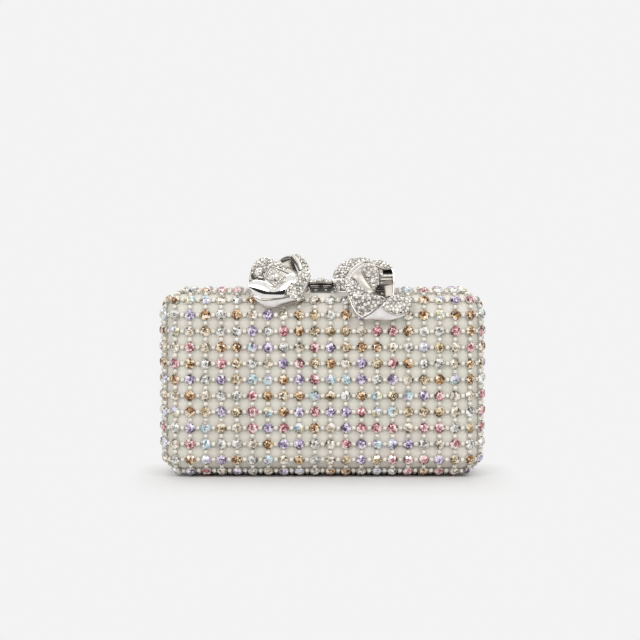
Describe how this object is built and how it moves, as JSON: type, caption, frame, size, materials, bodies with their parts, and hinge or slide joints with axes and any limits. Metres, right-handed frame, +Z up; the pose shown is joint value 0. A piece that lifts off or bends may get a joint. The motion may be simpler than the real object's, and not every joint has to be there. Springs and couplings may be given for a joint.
{
  "type": "box clutch bag",
  "caption": "Rigid rectangular clutch with rounded edges, covered in set crystals, hinged at the base, with a metal frame and a rocking bow clasp on top.",
  "frame": {"origin": "centre of the whole object's box at the level it stands on", "axes": "+X to the right along the width, -Y out of the front face that carries the bow, +Z up"},
  "size_m": [0.1796, 0.0598, 0.1242],
  "materials": {
    "crystal_satin": "cream satin set with mixed foiled crystals and pearl beads",
    "crystal": "foiled cut crystal in silver cups",
    "case_board": "moulded case shell",
    "lining_satin": "champagne satin lining",
    "frame_metal": "polished nickel plate",
    "steel": "drawn steel wire",
    "bow_metal": "rhodium plate, mirror polished, with pave stones"
  },
  "bodies": {
    "rear_half": {"rear_cover": "crystal_satin", "rear_base_crystals": "crystal", "rear_shell": "case_board", "rear_lining": "lining_satin", "rear_frame": "frame_metal", "lining_pocket": "lining_satin", "catch_keeper": "frame_metal", "keeper_rivet_left": "frame_metal", "keeper_rivet_right": "frame_metal", "rear_knuckle_1_left": "frame_metal", "rear_knuckle_1_right": "frame_metal", "rear_knuckle_2_left": "frame_metal", "rear_knuckle_2_right": "frame_metal", "rear_knuckle_3_left": "frame_metal", "rear_knuckle_3_right": "frame_metal", "hinge_pin_1": "steel", "hinge_pin_2": "steel", "hinge_pin_3": "steel"},
    "front_half": {"front_cover": "crystal_satin", "front_base_crystals": "crystal", "front_shell": "case_board", "front_lining": "lining_satin", "front_frame": "frame_metal", "clasp_bracket": "bow_metal", "bracket_rivet_left": "frame_metal", "bracket_rivet_right": "frame_metal", "clasp_barrel": "bow_metal", "clasp_spring": "steel", "front_knuckle_1": "frame_metal", "front_knuckle_2": "frame_metal", "front_knuckle_3": "frame_metal"},
    "bow": {"bow_left_half": "bow_metal", "bow_right_half": "bow_metal", "bow_knot": "bow_metal", "bow_hook_left": "bow_metal", "bow_hook_right": "bow_metal", "bow_pin": "steel"}
  },
  "joints": [
    {"name": "shell_hinge", "type": "hinge", "parent": "rear_half", "child": "front_half", "pos_m": [0, 0.00332, 0.00135], "axis": [1, 0, 0], "range_deg": [0, 55]},
    {"name": "clasp_tilt", "type": "hinge", "parent": "front_half", "child": "bow", "pos_m": [-0.00095, 0.00332, 0.1041], "axis": [-1, 0, 0], "range_deg": [0, 14], "stiffness_Nm_per_rad": 0.05, "springref_deg": -11.46}
  ]
}
